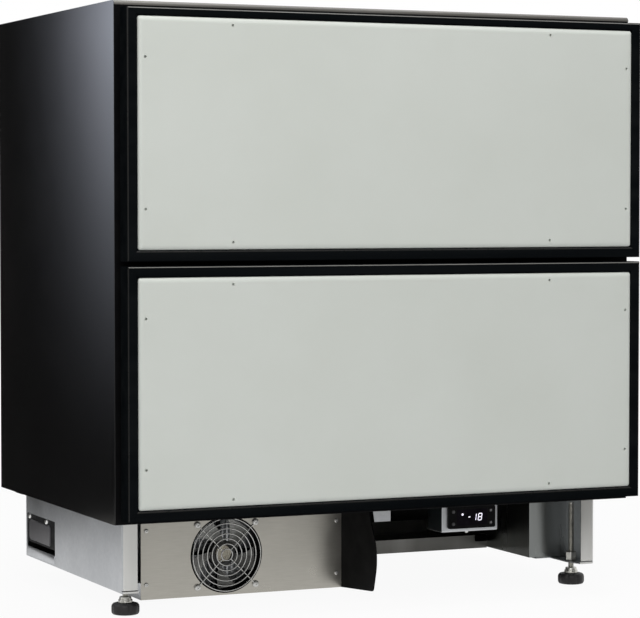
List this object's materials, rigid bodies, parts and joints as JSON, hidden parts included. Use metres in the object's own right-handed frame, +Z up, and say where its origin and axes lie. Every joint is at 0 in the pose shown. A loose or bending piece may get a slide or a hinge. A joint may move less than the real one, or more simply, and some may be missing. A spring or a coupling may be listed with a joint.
{
  "type": "built-in freezer drawer unit",
  "caption": "Panel-ready built-in freezer cabinet with sliding freezer drawers on telescopic rails above a low machine base with fan, controller and levelling feet.",
  "frame": {"origin": "middle of the footprint, on the floor under the feet", "axes": "+Z up, front faces -Y, +X to the right of a person facing the front"},
  "size_m": [0.898, 0.636, 0.948],
  "materials": {
    "black_steel": "semi-gloss black powder coat",
    "foam": "rigid insulation foam",
    "liner_plastic": "smooth white",
    "bin_plastic": "moulded satin white",
    "front_frame": "black anodised",
    "carrier_plate": "light grey satin paint",
    "seal_rubber": "soft black",
    "rail_steel": "zinc plated",
    "galvanised": "galvanised, fine spangle",
    "dark_sheet": "dark grey satin coat",
    "stainless": "brushed",
    "bright_wire": "nickel plated",
    "zinc": "zinc plated thread",
    "black_plastic": "fine texture",
    "fan_grey": "satin",
    "fin_aluminium": "plain",
    "compressor_paint": "gloss black",
    "copper": "drawn copper",
    "display": "dark lens",
    "button_grey": "satin"
  },
  "bodies": {
    "cabinet": {"left_side_panel": "black_steel", "right_side_panel": "black_steel", "top_panel": "black_steel", "bottom_panel": "black_steel", "back_panel": "black_steel", "mullion_bar": "black_steel", "base_rear_panel": "black_steel", "insulation": "foam", "inner_liner": "liner_plastic", "evaporator_cover": "liner_plastic", "compressor_grommets": "seal_rubber", "outer_rails": "rail_steel", "left_base_plate": "galvanised", "right_base_plate": "galvanised", "unit_tray": "galvanised", "hanging_tab": "galvanised", "controller_bracket": "galvanised", "electrics_cover": "galvanised", "evaporation_tray": "dark_sheet", "fan_panel": "stainless", "fan_guard": "bright_wire", "guard_screws": "bright_wire", "panel_screws": "bright_wire", "foot_nuts": "zinc", "side_covers": "black_plastic", "air_baffle": "black_plastic", "condenser_fan_frame": "black_plastic", "evaporator_fan_frame": "black_plastic", "controller_case": "black_plastic", "condenser_coil": "fin_aluminium", "evaporator_coil": "fin_aluminium", "compressor": "compressor_paint", "refrigerant_pipes": "copper", "display_lens": "display"},
    "upper_drawer": {"upper_front_frame": "front_frame", "upper_face_plate": "carrier_plate", "upper_front_core": "foam", "upper_inner_panel": "liner_plastic", "upper_gasket": "seal_rubber", "upper_bin": "bin_plastic", "upper_inner_rails": "rail_steel"},
    "lower_drawer": {"lower_front_frame": "front_frame", "lower_face_plate": "carrier_plate", "lower_front_core": "foam", "lower_inner_panel": "liner_plastic", "lower_gasket": "seal_rubber", "lower_bin": "bin_plastic", "lower_inner_rails": "rail_steel"},
    "upper_mid_rails": {"upper_mid_rails": "rail_steel"},
    "lower_mid_rails": {"lower_mid_rails": "rail_steel"},
    "condenser_fan": {"condenser_fan": "fan_grey"},
    "evaporator_fan": {"evaporator_fan": "fan_grey"},
    "front_left_foot": {"front_left_foot": "zinc"},
    "front_right_foot": {"front_right_foot": "zinc"},
    "rear_left_foot": {"rear_left_foot": "zinc"},
    "rear_right_foot": {"rear_right_foot": "zinc"},
    "button_upper_left": {"button_upper_left": "button_grey"},
    "button_lower_left": {"button_lower_left": "button_grey"},
    "button_upper_right": {"button_upper_right": "button_grey"},
    "button_lower_right": {"button_lower_right": "button_grey"}
  },
  "joints": [
    {"name": "upper_drawer_slide", "type": "slide", "parent": "cabinet", "child": "upper_drawer", "axis": [0, -1, 0], "range_m": [0, 0.42]},
    {"name": "upper_mid_rail_slide", "type": "slide", "parent": "cabinet", "child": "upper_mid_rails", "axis": [0, -1, 0], "range_m": [0, 0.21]},
    {"name": "lower_drawer_slide", "type": "slide", "parent": "cabinet", "child": "lower_drawer", "axis": [0, -1, 0], "range_m": [0, 0.42]},
    {"name": "lower_mid_rail_slide", "type": "slide", "parent": "cabinet", "child": "lower_mid_rails", "axis": [0, -1, 0], "range_m": [0, 0.21]},
    {"name": "condenser_fan_spin", "type": "hinge", "parent": "cabinet", "child": "condenser_fan", "pos_m": [-0.2096, -0.11, 0.077], "axis": [0, 1, 0], "continuous": true},
    {"name": "evaporator_fan_spin", "type": "hinge", "parent": "cabinet", "child": "evaporator_fan", "pos_m": [0, 0.205, 0.732], "axis": [0, 1, 0], "continuous": true},
    {"name": "button_upper_left_press", "type": "slide", "parent": "cabinet", "child": "button_upper_left", "axis": [0, 1, 0], "range_m": [0, 0.0008], "stiffness_N_per_m": 1500},
    {"name": "button_lower_left_press", "type": "slide", "parent": "cabinet", "child": "button_lower_left", "axis": [0, 1, 0], "range_m": [0, 0.0008], "stiffness_N_per_m": 1500},
    {"name": "button_upper_right_press", "type": "slide", "parent": "cabinet", "child": "button_upper_right", "axis": [0, 1, 0], "range_m": [0, 0.0008], "stiffness_N_per_m": 1500},
    {"name": "button_lower_right_press", "type": "slide", "parent": "cabinet", "child": "button_lower_right", "axis": [0, 1, 0], "range_m": [0, 0.0008], "stiffness_N_per_m": 1500},
    {"name": "front_left_foot_height", "type": "slide", "parent": "cabinet", "child": "front_left_foot", "axis": [0, 0, -1], "range_m": [-0.009, 0.02]},
    {"name": "front_right_foot_height", "type": "slide", "parent": "cabinet", "child": "front_right_foot", "axis": [0, 0, -1], "range_m": [-0.009, 0.02]},
    {"name": "rear_left_foot_height", "type": "slide", "parent": "cabinet", "child": "rear_left_foot", "axis": [0, 0, -1], "range_m": [-0.009, 0.02]},
    {"name": "rear_right_foot_height", "type": "slide", "parent": "cabinet", "child": "rear_right_foot", "axis": [0, 0, -1], "range_m": [-0.009, 0.02]}
  ],
  "couplings": [
    {"joint": "upper_mid_rail_slide", "follows": "upper_drawer_slide", "ratio": 0.5},
    {"joint": "lower_mid_rail_slide", "follows": "lower_drawer_slide", "ratio": 0.5}
  ]
}
